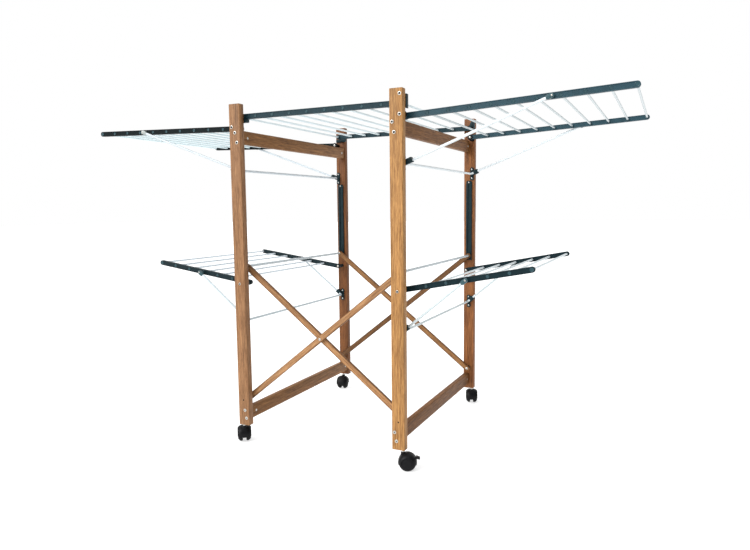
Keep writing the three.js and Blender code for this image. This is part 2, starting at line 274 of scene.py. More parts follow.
def wood(name, colour, seed, half=None):
    """Lacquered timber, grain along the piece's own X axis; half is a slat's half width, for the
    painted shade along its edges.
    """
    mat, tree, bsdf = new_material(name)
    rng = random.Random(seed)
    offset = tuple(rng.uniform(-5, 5) for _ in range(3))
    figure = noise(tree, object_coords(tree, (1.6, 34, 34), offset), 2.2, 5, 0.55, 0.8)
    streaks = noise(tree, object_coords(tree, (11, 300, 300), offset), 1.6, 6, 0.65, 0.3)
    pores = noise(tree, object_coords(tree, (60, 1300, 1300), offset), 1.0, 2, 0.5)
    base = ramp(tree, figure, [
        (0.26, shade(colour, 0.62)), (0.45, shade(colour, 0.90)),
        (0.57, colour), (0.76, shade(colour, 1.28)),
    ])
    fibre = ramp(tree, streaks, FIBRE_STOPS)
    pits = ramp(tree, pores, PORE_STOPS)
    toned = mix(tree, 0.85, base, fibre, "MULTIPLY")
    full = mix(tree, 0.65, toned, pits, "MULTIPLY")
    # A slat gets painted shade along its long edges.
    if half:
        full = painted_edge_shade(tree, full, half)
    tree.links.new(full, bsdf.inputs["Base Color"])
    tree.links.new(remap(tree, streaks, 0.66, 0.46), bsdf.inputs["Roughness"])
    bsdf.inputs["Specular IOR Level"].default_value = 0.22
    bsdf.inputs["Coat Weight"].default_value = 0.04
    bsdf.inputs["Coat Roughness"].default_value = 0.35
    bump(tree, bsdf, mix(tree, 0.5, streaks, pores), 0.4, 0.0003)
    return mat


def plastic(name, colour, rough, specular, grain=900.0, strength=0.12):
    """Moulded plastic with a fine spark-eroded texture and slight mottling."""
    mat, tree, bsdf = new_material(name)
    mottle = noise(tree, object_coords(tree, (1, 1, 1)), 38, 4, 0.55)
    skin = noise(tree, object_coords(tree, (1, 1, 1)), grain, 3, 0.6)
    tree.links.new(ramp(tree, mottle, [(0.3, shade(colour, 0.80)), (0.7, shade(colour, 1.22))]),
                   bsdf.inputs["Base Color"])
    tree.links.new(remap(tree, mottle, rough - 0.07, rough + 0.09), bsdf.inputs["Roughness"])
    bsdf.inputs["Specular IOR Level"].default_value = specular
    bump(tree, bsdf, skin, strength, 0.0002)
    return mat


def coated_tube(name, colour):
    """White plastic-coated steel tube: glossy, with faint orange peel and scuffs."""
    mat, tree, bsdf = new_material(name)
    scuffs = noise(tree, object_coords(tree, (1, 1, 1)), 26, 5, 0.6)
    peel = noise(tree, object_coords(tree, (1, 1, 1)), 260, 2, 0.4)
    tree.links.new(ramp(tree, scuffs, [(0.3, shade(colour, 0.92)), (0.6, colour)]),
                   bsdf.inputs["Base Color"])
    tree.links.new(remap(tree, scuffs, 0.28, 0.44), bsdf.inputs["Roughness"])
    bsdf.inputs["Coat Weight"].default_value = 0.2
    bsdf.inputs["Coat Roughness"].default_value = 0.25
    bump(tree, bsdf, peel, 0.06, 0.0002)
    return mat


def steel(name):
    """Zinc-plated steel with turned marks and a slightly clouded finish."""
    mat, tree, bsdf = new_material(name)
    cloud = noise(tree, object_coords(tree, (1, 1, 1)), 160, 4, 0.6)
    marks = noise(tree, object_coords(tree, (1, 1, 1)), 2200, 2, 0.5)
    bsdf.inputs["Metallic"].default_value = 1.0
    tree.links.new(ramp(tree, cloud, [(0.3, (0.42, 0.41, 0.38)), (0.7, (0.64, 0.63, 0.59))]),
                   bsdf.inputs["Base Color"])
    tree.links.new(remap(tree, cloud, 0.26, 0.46), bsdf.inputs["Roughness"])
    bump(tree, bsdf, marks, 0.1, 0.0001)
    return mat


# Tones of the timber, piece by piece, and the seeds of the cross rails' grain. The back
# posts are darker partly in their own tone and partly as painted shade.
POST_COLOURS = {
    "front_left": (0.30, 0.155, 0.070),
    "front_right": (0.42, 0.218, 0.073),
    "back_left": (0.18, 0.067, 0.018),
    "back_right": (0.26, 0.100, 0.030),
}
RAIL_COLOURS = {"left": (0.24, 0.112, 0.036), "right": (0.20, 0.085, 0.023)}
RAIL_SEEDS = {"left": 26, "right": 57}
# The back slats are darker than the front ones: painted shade.
SLAT_COLOURS = {
    "a_front": (0.36, 0.195, 0.088), "b_front": (0.36, 0.190, 0.082),
    "a_back": (0.15, 0.070, 0.023), "b_back": (0.26, 0.128, 0.046),
}

GREEN = plastic("green_plastic", (0.006, 0.020, 0.025), 0.40, 0.15)
# Copies of the one green plastic, each darker or lighter and more or less glossy than the others,
# to paint the light and shade that falls on each wing's and the shelf's rails.
LIT_AND_SHADED_GREENS = {
    "upper_left": plastic("green_plastic_ul_painted_shading", (0.003, 0.007, 0.008), 0.42, 0.08),
    "upper_right": plastic("green_plastic_ur_painted_shading", (0.010, 0.042, 0.058), 0.38, 0.28),
    "lower_left": plastic("green_plastic_ll_painted_shading", (0.005, 0.015, 0.019), 0.40, 0.14),
    "lower_right": plastic("green_plastic_lr_painted_shading", (0.004, 0.016, 0.021), 0.40, 0.11),
    "shelf": plastic("green_plastic_shelf_painted_shading", (0.007, 0.027, 0.036), 0.38, 0.16),
}
# Lighter green for the rings of the rails' bosses: a painted highlight.
BOSS_HIGHLIGHT = plastic("boss_ring_painted_highlight", (0.014, 0.050, 0.062), 0.36, 0.3)
SLEEVE = plastic("sleeve_plastic", (0.022, 0.066, 0.078), 0.36, 0.35)
PALE_SLEEVE = plastic("pale_sleeve_plastic", (0.30, 0.34, 0.33), 0.36, 0.5)
BLACK = plastic("black_plastic", (0.005, 0.005, 0.006), 0.42, 0.14)
TREAD = plastic("black_tread", (0.006, 0.006, 0.007), 0.60, 0.14, 500.0, 0.2)
# The white coating, made darker and bluer than white to paint the grey-blue shade on thin tubes,
# and copies of it, lighter or darker per wing, that paint the light and shade on each wing's rods
# and stays.
WHITE = coated_tube("white_coated_tube", (0.47, 0.53, 0.56))
LIT_AND_SHADED_ROD_WHITES = {
    "upper_left": coated_tube("white_coated_rods_ul_painted_shading", (0.69, 0.84, 0.88)),
    "upper_right": coated_tube("white_coated_rods_ur_painted_shading", (0.43, 0.49, 0.51)),
    "lower_left": coated_tube("white_coated_rods_ll_painted_shading", (0.64, 0.72, 0.78)),
    "lower_right": coated_tube("white_coated_rods_lr_painted_shading", (0.62, 0.70, 0.73)),
    "shelf": coated_tube("white_coated_rods_shelf_painted_shading", (0.69, 0.80, 0.84)),
}
LIT_AND_SHADED_STAY_WHITES = {
    "upper_left": coated_tube("white_coated_stay_ul_painted_shading", (0.50, 0.56, 0.60)),
    "upper_right": coated_tube("white_coated_stay_ur_painted_shading", (0.64, 0.70, 0.73)),
    "lower_left": coated_tube("white_coated_stay_ll_painted_shading", (0.53, 0.61, 0.65)),
    "lower_right": coated_tube("white_coated_stay_lr_painted_shading", (0.52, 0.59, 0.61)),
}
ZINC = steel("zinc_steel")
GREENS = (GREEN, BOSS_HIGHLIGHT, SLEEVE, PALE_SLEEVE, *LIT_AND_SHADED_GREENS.values())
WHITES = (WHITE, *LIT_AND_SHADED_ROD_WHITES.values(), *LIT_AND_SHADED_STAY_WHITES.values())
SLOTS = {
    **dict.fromkeys(GREENS, "green_plastic"), **dict.fromkeys(WHITES, "white_coated_tube"),
    **dict.fromkeys((BLACK, TREAD), "black_plastic"), ZINC: "zinc_steel",
}


# ---- mesh building --------------------------------------------------------------


def finish_piece(bm, name, mat, body, matrix=None):
    """Turns a bmesh into a piece with a material, riding on a body."""
    bmesh.ops.recalc_face_normals(bm, faces=bm.faces)
    mesh = bpy.data.meshes.new(name)
    bm.to_mesh(mesh)
    bm.free()
    for polygon in mesh.polygons:
        polygon.use_smooth = True
    mesh.set_sharp_from_angle(angle=SHARP_ANGLE)
    mesh.materials.append(mat)
    obj = bpy.data.objects.new(name, mesh)
    bpy.context.collection.objects.link(obj)
    if matrix is not None:
        obj.matrix_world = matrix
    bpy.context.view_layer.update()
    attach(obj, body)
    return obj


def add_prism(bm, outline, y0, y1, bevel, segments=2):
    """Outline in XZ given depth along Y, with its two rims rounded."""
    low = [bm.verts.new((x, y0, z)) for x, z in outline]
    high = [bm.verts.new((x, y1, z)) for x, z in outline]
    caps = [bm.faces.new(low), bm.faces.new(list(reversed(high)))]
    n = len(outline)
    for i in range(n):
        bm.faces.new((low[i], high[i], high[(i + 1) % n], low[(i + 1) % n]))
    if bevel:
        edges = list({e for f in caps for e in f.edges})
        bmesh.ops.bevel(bm, geom=edges, offset=bevel, segments=segments,
                        profile=0.6, affect="EDGES", clamp_overlap=True)


def add_loft(bm, outlines):
    """Skins a row of outlines, each (points in XZ, y), and closes both ends."""
    loops = [[bm.verts.new((x, y, z)) for x, z in points] for points, y in outlines]
    for a, b in zip(loops, loops[1:]):
        bridge(bm, a, b)
    bm.faces.new(loops[0])
    bm.faces.new(list(reversed(loops[-1])))


def add_box(bm, size, centre, bevel):
    """Box with every edge rounded."""
    made = bmesh.ops.create_cube(bm, size=1.0)["verts"]
    for v in made:
        v.co = Vector(a * b for a, b in zip(v.co, size)) + Vector(centre)
    if bevel:
        edges = list({e for v in made for e in v.link_edges})
        bmesh.ops.bevel(bm, geom=edges, offset=bevel, segments=3,
                        profile=0.5, affect="EDGES")


def stadium(length, half):
    """Flat bar along X, its round ends centred on the origin and at length."""
    out = []
    for centre, start in ((length, -math.pi / 2), (0, math.pi / 2)):
        for i in range(END_STEPS + 1):
            a = start + math.pi * i / END_STEPS
            out.append((centre + half * math.cos(a), half * math.sin(a)))
    return out


def arc(radius, start, stop, steps):
    turn = [math.radians(start + (stop - start) * i / steps) for i in range(steps + 1)]
    return [(radius * math.cos(a), radius * math.sin(a)) for a in turn]


def ring(bm, centre, across, up, radius, sides):
    turn = [2 * math.pi * i / sides for i in range(sides)]
    return [bm.verts.new(centre + across * (radius * math.cos(a)) + up * (radius * math.sin(a)))
            for a in turn]


def bridge(bm, a, b):
    n = len(a)
    for i in range(n):
        bm.faces.new((a[i], a[(i + 1) % n], b[(i + 1) % n], b[i]))


def add_tube(bm, points, radius, sides):
    """Round tube along points that lie in one plane or one line, with soft-edged ends."""
    points = [Vector(p) for p in points]
    tangents = []
    for i, p in enumerate(points):
        a = points[max(i - 1, 0)]
        b = points[min(i + 1, len(points) - 1)]
        tangents.append((b - a).normalized())
    across = tangents[0].orthogonal().normalized()
    rings = []
    for p, t in zip(points, tangents):
        across = (across - t * across.dot(t)).normalized()
        rings.append((p, t, across.copy(), t.cross(across)))
    lip = radius * TUBE_LIP
    first, last = rings[0], rings[-1]
    loops = [ring(bm, first[0], first[2], first[3], radius - lip, sides),
             ring(bm, first[0] + first[1] * lip, first[2], first[3], radius, sides)]
    for p, t, u, v in rings[1:-1]:
        loops.append(ring(bm, p, u, v, radius, sides))
    loops.append(ring(bm, last[0] - last[1] * lip, last[2], last[3], radius, sides))
    loops.append(ring(bm, last[0], last[2], last[3], radius - lip, sides))
    for a, b in zip(loops, loops[1:]):
        bridge(bm, a, b)
    bm.faces.new(loops[0])
    bm.faces.new(list(reversed(loops[-1])))


def add_turned(bm, profile, centre, axis, sides):
    """Solid of revolution: profile is (radius, height along axis), closed at both ends."""
    axis = Vector(axis).normalized()
    across = axis.orthogonal().normalized()
    up = axis.cross(across)
    centre = Vector(centre)
    loops = []
    for r, h in profile:
        if r <= 0:
            loops.append([bm.verts.new(centre + axis * h)])
        else:
            loops.append(ring(bm, centre + axis * h, across, up, r, sides))
    for a, b in zip(loops, loops[1:]):
        if len(a) == 1:
            for i in range(sides):
                bm.faces.new((a[0], b[(i + 1) % sides], b[i]))
        elif len(b) == 1:
            for i in range(sides):
                bm.faces.new((a[i], a[(i + 1) % sides], b[0]))
        else:
            bridge(bm, a, b)
    for loop, flip in ((loops[0], False), (loops[-1], True)):
        if len(loop) > 1:
            bm.faces.new(list(reversed(loop)) if flip else loop)


def rounded_path(corners, radius):
    """Corner points with each inner corner turned on a radius."""
    corners = [Vector(c) for c in corners]
    out = [corners[0]]
    for a, c, b in zip(corners, corners[1:], corners[2:]):
        to_a, to_b = (a - c).normalized(), (b - c).normalized()
        turn = math.pi - to_a.angle(to_b)
        back = radius * math.tan(turn / 2)
        centre = c + (to_a + to_b).normalized() * (radius / math.cos(turn / 2))
        start, stop = c + to_a * back - centre, c + to_b * back - centre
        for k in range(BEND_STEPS + 1):
            f = k / BEND_STEPS
            mixed = start * math.sin((1 - f) * turn) + stop * math.sin(f * turn)
            out.append(centre + mixed / math.sin(turn))
    out.append(corners[-1])
    return out


def along(p, q, y=0.0):
    """Frame at p with X toward q, both in the XZ plane."""
    u = Vector((q[0] - p[0], 0, q[1] - p[1])).normalized()
    v = Vector((-u.z, 0, u.x))
    w = v.cross(u)
    return Matrix((
        (u.x, w.x, v.x, p[0]), (u.y, w.y, v.y, y), (u.z, w.z, v.z, p[1]), (0, 0, 0, 1),
    ))


def span(p, q):
    return math.hypot(q[0] - p[0], q[1] - p[1])


# ---- fittings -------------------------------------------------------------------

# Half sections in mm: (radius, height over the surface). A shade disc is the black disc laid
# in a socket or a hole: painted shade for its dark floor.
SOCKET_HEAD = [(5.2, -0.3), (5.2, 0.3), (4.8, 0.9), (4.1, 1.15), (3.3, 1.05), (3.1, 0.1),
               (0, 0.05)]
SOCKET_SHADE = [(0, 0.06), (3.12, 0.1), (3.12, 0.3), (0, 0.35)]
LOW_HEAD = [(5.0, -0.3), (5.0, 0.3), (4.6, 0.8), (3.4, 1.05), (1.9, 1.1), (1.7, 0.1),
            (0, 0.05)]
LOW_SHADE = [(0, 0.06), (1.7, 0.1), (1.7, 0.3), (0, 0.35)]
HOLE_SHADE = [(2.4, -0.3), (2.4, 0.03), (2.0, 0.1), (0, 0.1)]
RIVET = [(4.6, -0.2), (4.6, 0.1), (4.0, 0.35), (0, 0.45)]
PAN_HEAD = [(3.5, -0.2), (3.5, 0.4), (3.0, 1.3), (2.2, 1.7), (1.2, 1.8), (0.9, 0.9), (0, 0.8)]
NUT_HEAD = [(4.8, -0.4), (4.8, 0.1), (4.4, 0.6), (2.4, 0.7), (2.1, 0.2), (0, 0.2)]
HEX_NUT = [(0, 0), (5.2, 0), (5.6, 0.5), (5.6, 3.4), (5.2, 3.9), (3.2, 3.9), (3.0, 4.4), (0, 4.4)]
HINGE_PLATE = [(0, 0), (12, 0), (12, 2.4), (11, 3.2), (7.4, 3.4), (0, 3.4)]

# A rod's boss on a rail: closed cup and ring outside, collar inside. The ring is drawn in a
# lighter green, a painted highlight.
BOSS_CUP = [(0, -1.6), (4.4, -1.6), (4.2, -0.9), (0, -0.9)]
BOSS_RING = [(0, -1.3), (4.6, -1.3), (4.5, -0.4), (3.9, -0.1), (3.2, -0.4), (3.0, -0.8), (0, -0.8)]
BOSS_COLLAR = [(0, -1.4), (5.4, -1.4), (5.0, 1.0), (4.4, 1.4), (0, 1.4)]
TIP_BOSS = 1.3

# A rail's section in mm: (half height, distance out from its side). The panel is sunk.
RAIL_SECTION = [(5.2, -1.1), (5.6, -0.2), (6.1, 0), (7.1, 0), (7.8, -0.4), (8, -1.2)]

# A clip's plate is two lobes, and its channel is made of slabs. A slab in mm: from and to
# along the stay's leg, from and to above it, near and far depth, bevel.
CLIP_LOBE = 7.6 * MM
CLIP_HALF = 15.5 * MM
CLIP_SLABS = [
    (-6, 26, -7.5, 7.5, "face", "cheek", 1.2),
    (3, 26, 4.3, 7.4, "plate", "edge", 0.7),
    (10.5, 26, -5.6, 5.0, "lip", "edge", 0.05),
    *[(x, x + 2.4, 7.0, 8.4, "plate", "lip", 0.4) for x in (6, 13, 20)],
]


def in_metres(section, scale=1.0):
    return [(r * scale * MM, h * scale * MM) for r, h in section]


def add_head(bm, profile, centre, axis, scale=1.0):
    closed = [(0, profile[0][1])] + profile if profile[0][0] else profile
    add_turned(bm, in_metres(closed, scale), centre, axis, 20)


def add_rod(bm, radius, low, high, centre, axis, sides):
    """Plain round bar between two distances from centre along axis."""
    add_turned(bm, [(0, low), (radius, low), (radius, high), (0, high)], centre, axis, sides)


def beam(name, node, body, low, high, axis, colour, seed, edge=1.6 * MM):
    """Straight timber between two corners, its grain along axis."""
    low, high = Vector(low), Vector(high)
    size = high - low
    centre = (low + high) / 2
    order = {"Z": (2, 0, 1), "Y": (1, 0, 2)}[axis]
    basis = Matrix.Identity(3)
    columns = [basis.col[i] for i in order]
    rotation = Matrix(columns).transposed()
    if rotation.determinant() < 0:
        columns[2] = -columns[2]
        rotation = Matrix(columns).transposed()
    bm = bmesh.new()
    add_box(bm, [size[i] for i in order], (0, 0, 0), edge)
    place = Matrix.Translation(centre) @ rotation.to_4x4()
    obj = finish_piece(bm, name, wood(name + "_wood", colour, seed), body, place)
    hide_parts(node)


def end_frame(side, seed):
    """Posts and cross rails of one end frame, with their bolts."""
    body = f"{side}_frame"
    for end in ENDS:
        node = f"post_{end}_{side}"
        beam(f"wood_{node}", node, body, *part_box(node), "Z", POST_COLOURS[f"{end}_{side}"],
             seed + ENDS[end])
    for level in ("upper", "lower"):
        node = f"crossrail_{level}_{side}"
        beam(f"wood_{node}", node, body, *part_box(node), "Y", RAIL_COLOURS[side],
             RAIL_SEEDS[side], 2.2 * MM)
    # Black discs laid in the sockets and in the hole over the slat's bolt: painted shade for their
    # dark floors.
    bm, pits = bmesh.new(), bmesh.new()
    for end in ENDS:
        outward = (0, ENDS[end], 0)
        for inset, height in SCREWS[side]:
            at = (x_at(side, inset * MM), y_at(end, 0), z_at(height * MM))
            if height == SLAT_HOLE:
                add_head(pits, HOLE_SHADE, at, outward)
                continue
            low = height < LOW_SCREWS
            scale = 0.8 if height == LOWER_WING_SCREW else 1.0
            add_head(bm, LOW_HEAD if low else SOCKET_HEAD, at, outward, scale)
            add_head(pits, LOW_SHADE if low else SOCKET_SHADE, at, outward, scale)
        for level in ("upper", "lower"):
            low, high = (Vector(v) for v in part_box(f"crossrail_{level}_{side}"))
            for face, x in ((-1, low.x), (1, high.x)):
                at = (x, y_at(end, RAIL_BOLT_Y), (low.z + high.z) / 2)
                add_head(bm, NUT_HEAD, at, (face, 0, 0), 0.8)
    finish_piece(bm, f"frame_bolts_{side}", ZINC, body)
    finish_piece(pits, f"frame_bolt_socket_shade_{side}", BLACK, body)


def track(side, end):
    """Grooved guide with a rounded top, screwed to the inner face of a post."""
    body = f"{side}_frame"
    x = x_at(side, BRACE_INSET)
    height = TRACK_Z[1] - TRACK_Z[0]
    wall = (TRACK_W - TRACK_SLOT) / 2
    y0, y1 = y_at(end, TRACK_Y[0]), y_at(end, TRACK_Y[1])
    floor = y_at(end, TRACK_FLOOR_Y)
    z0, z1 = z_at(TRACK_Z[0]), z_at(TRACK_Z[1])
    bm = bmesh.new()
    for s in (-1, 1):
        outer, inner = s * TRACK_W / 2, s * (TRACK_W / 2 - wall)
        outline = [(x + inner, z0), (x + outer, z0), (x + outer, z1 - TRACK_CROWN)]
        for i in range(1, CROWN_STEPS + 1):
            a = math.pi / 2 * i / CROWN_STEPS
            outline.append((x + s * (TRACK_W / 2 - TRACK_CROWN * (1 - math.cos(a))),
                            z1 - TRACK_CROWN * (1 - math.sin(a))))
        outline.append((x + inner, z1))
        add_prism(bm, outline, y0, y1, 0.8 * MM)
    between = TRACK_W - 2 * wall + 1 * MM
    add_box(bm, (between, abs(floor - y0), height - 2 * MM),
            (x, (floor + y0) / 2, (z0 + z1) / 2), 0)
    for z in (z1 - 6 * MM, z0 + 4 * MM):
        add_box(bm, (between, abs(y1 - y0) - 1 * MM, 7 * MM), (x, (y0 + y1) / 2, z), 0.6 * MM)
    obj = finish_piece(bm, f"guide_{end}_{side}", GREEN, body)
    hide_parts(f"track_{end}_{side}")
    bm = bmesh.new()
    add_head(bm, PAN_HEAD, (x, y1, z1 - 6.5 * MM), (0, -ENDS[end], 0), 0.8)
    finish_piece(bm, f"guide_screw_{end}_{side}", ZINC, body)


def wing_point(level, side, t):
    """(x, z) at a distance along a wing from its hinge."""
    hinge = JOINTS[f"wing_{level}_{side}_hinge"]["pos_m"]
    a = math.radians(TILT[level][side])
    return hinge[0] + SIDES[side] * t * math.cos(a), hinge[2] + t * math.sin(a)


def crossbar_point(level, side):
    hinge = JOINTS[f"wing_{level}_{side}_hinge"]["pos_m"]
    return hinge[0], hinge[2] - WINGS[level]["drop"]


def add_slab(bm, place, up, depth, slab):
    """One slab of a clip's channel; up is the side of the leg that its roof is on."""
    x0, x1, v0, v1, near, far, bevel = slab
    part = bmesh.new()
    low, high = sorted((up * v0 * MM, up * v1 * MM))
    add_prism(part, [(x0 * MM, low), (x1 * MM, low), (x1 * MM, high), (x0 * MM, high)],
              depth[near], depth[far], bevel * MM)
    part.transform(place)
    mesh = bpy.data.meshes.new("part")
    part.to_mesh(mesh)
    part.free()
    bm.from_mesh(mesh)
    bpy.data.meshes.remove(mesh)


def clip(level, side, end):
    """Dumb-bell plate with two screws, and a channel that the stay's leg snaps into."""
    body = f"{side}_frame"
    c = crossbar_point(level, side)
    place = along(c, wing_point(level, side, WINGS[level]["stay"]))
    depth = {key: y_at(end, value) for key, value in CLIP_Y.items()}
    bm = bmesh.new()
    outline = [(c[0] + x, c[1] + z + CLIP_HALF) for x, z in arc(CLIP_LOBE, -48, 228, 18)]
    outline += [(c[0] + x, c[1] + z - CLIP_HALF) for x, z in arc(CLIP_LOBE, 132, 408, 18)]
    add_prism(bm, outline, depth["face"], depth["plate"], 0.7 * MM)
    for slab in CLIP_SLABS:
        add_slab(bm, place, SIDES[side], depth, slab)
    obj = finish_piece(bm, f"stay_clip_{level}_{end}_{side}", GREEN, body)
    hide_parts(f"clip_{level}_{end}_{side}")
    bm = bmesh.new()
    for dz in (-CLIP_HALF, CLIP_HALF):
        add_head(bm, PAN_HEAD, (c[0], depth["plate"], c[1] + dz), (0, -ENDS[end], 0), 0.85)
    finish_piece(bm, f"clip_screws_{level}_{end}_{side}", ZINC, body)


# ---- braces ---------------------------------------------------------------------


def brace(name, low, high, layer, seed):
    """A pair of slats, front and back, and the tube between their tops."""
    body = f"brace_{name}"
    pivot = JOINTS["frame_fold"]["pos_m"][2]
    p = (x_at(low, BRACE_INSET), pivot)
    q = (x_at(high, BRACE_INSET), z_at(BRACE_HIGH))
    length = span(p, q)
    for end in ENDS:
        y0, y1 = y_at(end, layer[0]), y_at(end, layer[1])
        bm = bmesh.new()
        place = along(p, q, (y0 + y1) / 2)
        half = abs(y1 - y0) / 2
        add_prism(bm, stadium(length, SLAT_HALF), -half, half, SLAT_EDGE, 5)
        node = f"slat_{name}_{end}"
        mat = wood(node + "_wood", SLAT_COLOURS[f"{name}_{end}"], seed + ENDS[end], SLAT_HALF)
        obj = finish_piece(bm, f"wood_{node}", mat, body, place)
        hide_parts(node)
        bm = bmesh.new()
        out = Vector((0, ENDS[end], 0))
        add_rod(bm, BUSH_R, -1 * MM, abs(y0 - y_at(end, POST_T + GAP)), (p[0], y0, p[1]), out, 20)
        neck, tip = (abs(y0 - y_at(end, depth)) for depth in SLIDER_Y)
        slider = [(0, -1 * MM), (SLIDER_R[0], -1 * MM), (SLIDER_R[0], neck), (SLIDER_R[1], tip),
                  (0, tip)]
        add_turned(bm, slider, (q[0], y0, q[1]), out, 20)
        finish_piece(bm, f"slat_bushes_{name}_{end}", GREEN, body)
        bm = bmesh.new()
        for at in (p, q):
            add_head(bm, RIVET, (at[0], y1, at[1]), -out, 0.7 if name == "a" else 1.0)
        finish_piece(bm, f"slat_screws_{name}_{end}", ZINC, body)
    bm = bmesh.new()
    node = f"brace_tube_{name}"
    low_y, high_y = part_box(node)[0][1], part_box(node)[1][1]
    add_tube(bm, [(q[0], low_y, q[1]), (q[0], 0, q[1]), (q[0], high_y, q[1])], TUBE_R, 18)
    obj = finish_piece(bm, f"cross_tube_{name}", WHITE, body)
    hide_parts(node)


def centre_bolts():
    """Bolts that hold the slats of an X together, head outside and nut inside."""
    z = JOINTS["brace_cross"]["pos_m"][2]
    for end in ENDS:
        bm = bmesh.new()
        out = Vector((0, ENDS[end], 0))
        add_head(bm, SOCKET_HEAD, (0, y_at(end, SLAT_A_Y[0]), z), out, 0.8)
        add_turned(bm, in_metres(HEX_NUT), (0, y_at(end, SLAT_B_Y[1]), z), -out, 6)
        obj = finish_piece(bm, f"cross_bolt_{end}", ZINC, "brace_a")
        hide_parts(f"brace_bolt_{end}")


# ---- wings, stays and shelf ---------------------------------------------------------


def rail_boss(bm, rings, t, half, outer, scale):
    """Boss round a rod's end: closed and ringed outside, a collar inside; the ring is in a lighter
    green, a painted highlight.
    """
    for target, section, way, k in ((bm, BOSS_CUP, outer, scale), (rings, BOSS_RING, outer, scale),
                                    (bm, BOSS_COLLAR, -outer, 1.0)):
        profile = [(r * k * MM, half + h * MM) for r, h in section]
        add_turned(target, profile, (t, 0, 0), (0, way, 0), 20)


def plastic_rail(name, node, body, p, q, y0, y1, end, rods, green, cap=None):
    """Green side rail: rounded ends, a sunk panel each side, a boss at every rod.

    A hinged rail turns at p, and has a bolt and a cap of the given radius there.
    """
    place = along(p, q, (y0 + y1) / 2)
    half = abs(y1 - y0) / 2
    length = span(p, q)
    outer = ENDS[end]
    rims = [(stadium(length, w * MM), outer * (half + d * MM)) for w, d in RAIL_SECTION]
    rims += [(stadium(length, w * MM), -outer * (half + d * MM))
             for w, d in reversed(RAIL_SECTION)]
    bm, rings = bmesh.new(), bmesh.new()
    add_loft(bm, rims)
    for t in rods:
        rail_boss(bm, rings, t, half, outer, TIP_BOSS if abs(t - length) < MM else 1.0)
    if cap:
        depth = abs(y_at(end, POST_T + GAP) - (y0 + y1) / 2)
        bolt = [(0, 0), (6 * MM, 0), (6 * MM, depth - 0.6 * MM), (5.4 * MM, depth), (0, depth)]
        add_turned(bm, bolt, (0, 0, 0), (0, outer, 0), 22)
    obj = finish_piece(bm, name, green, body, matrix=place)
    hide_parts(node)
    # The bosses' rings, in the lighter green of a painted highlight.
    finish_piece(rings, f"{name}_rings", BOSS_HIGHLIGHT, body, matrix=place)
    if cap:
        bm = bmesh.new()
        disc = [(0, -1.2 * MM), (cap, -1.2 * MM), (cap, 0.9 * MM), (cap - 1 * MM, 1.8 * MM),
                (0, 1.8 * MM)]
        add_turned(bm, disc, (p[0], y1, p[1]), (0, -outer, 0), 26)
        finish_piece(bm, f"{name}_cap", BLACK, body)
        bm = bmesh.new()
        add_head(bm, PAN_HEAD, (p[0], y1 - outer * 1.6 * MM, p[1]), (0, -outer, 0), 1.25)
        finish_piece(bm, f"{name}_pin", ZINC, body)


def rod_set(name, body, places, y_low, y_high, white):
    """White rods along Y, their ends just showing on the outer faces of the rails."""
    bm = bmesh.new()
    for x, z in places:
        add_tube(bm, [(x, y_low, z), (x, 0, z), (x, y_high, z)], ROD_R, 14)
    finish_piece(bm, name, white, body)


def wing(level, side):
    """Folding wing: two hinged rails and the rods between them."""
    w = WINGS[level]
    body = f"wing_{level}_{side}"
    stops = [w["arm"] - k * w["pitch"] for k in range(w["rods"])]
    p, q = wing_point(level, side, 0), wing_point(level, side, w["arm"])
    for end, node in (("front", f"{body}_rail"), ("back", f"{body}_rods")):
        y0, y1 = y_at(end, w["y"][0]), y_at(end, w["y"][1])
        plastic_rail(f"{body}_rail_{end}", node, body, p, q, y0, y1, end, stops,
                     LIT_AND_SHADED_GREENS[f"{level}_{side}"], w["cap"])
    reach = HALF_Y - w["y"][0] - 3 * MM
    rod_set(f"{body}_tubes", body, [wing_point(level, side, t) for t in stops], -reach, reach,
            LIT_AND_SHADED_ROD_WHITES[f"{level}_{side}"])


def stay(level, side):
    """White U-shaped stay, its ends in green sleeves on the wing's pivots."""
    w = WINGS[level]
    body = f"stay_{level}_{side}"
    s, c = wing_point(level, side, w["stay"]), crossbar_point(level, side)
    front, back = y_at("front", STAY_Y), y_at("back", STAY_Y)
    bm = bmesh.new()
    corners = [(s[0], front, s[1]), (c[0], front, c[1]), (c[0], back, c[1]), (s[0], back, s[1])]
    add_tube(bm, rounded_path(corners, STAY_BEND), STAY_R, 16)
    obj = finish_piece(bm, f"{body}_tube", LIT_AND_SHADED_STAY_WHITES[f"{level}_{side}"], body)
    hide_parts(body)
    bm = bmesh.new()
    toward = (Vector((c[0], 0, c[1])) - Vector((s[0], 0, s[1]))).normalized()
    heading = math.atan2(toward.z, toward.x)
    for end in ENDS:
        y = y_at(end, STAY_Y)
        flat = [(s[0] + x * math.cos(heading) - z * math.sin(heading),
                 s[1] + x * math.sin(heading) + z * math.cos(heading))
                for x, z in stadium(*SLEEVE_SIZE)]
        add_prism(bm, flat, y - SLEEVE_HALF, y + SLEEVE_HALF, 1.8 * MM, 3)
        reach = w["y"][0] + 6 * MM - STAY_Y
        add_rod(bm, 3 * MM, 0, reach, (s[0], y, s[1]), (0, -ENDS[end], 0), 16)
    finish_piece(bm, f"{body}_sleeves", PALE_SLEEVE if body == "stay_upper_left" else SLEEVE, body)
    bm = bmesh.new()
    for end in ENDS:
        at = (s[0], y_at(end, STAY_Y) + ENDS[end] * 3.8 * MM, s[1])
        add_head(bm, PAN_HEAD, at, (0, ENDS[end], 0), 0.75)
    finish_piece(bm, f"{body}_rivets", ZINC, body)


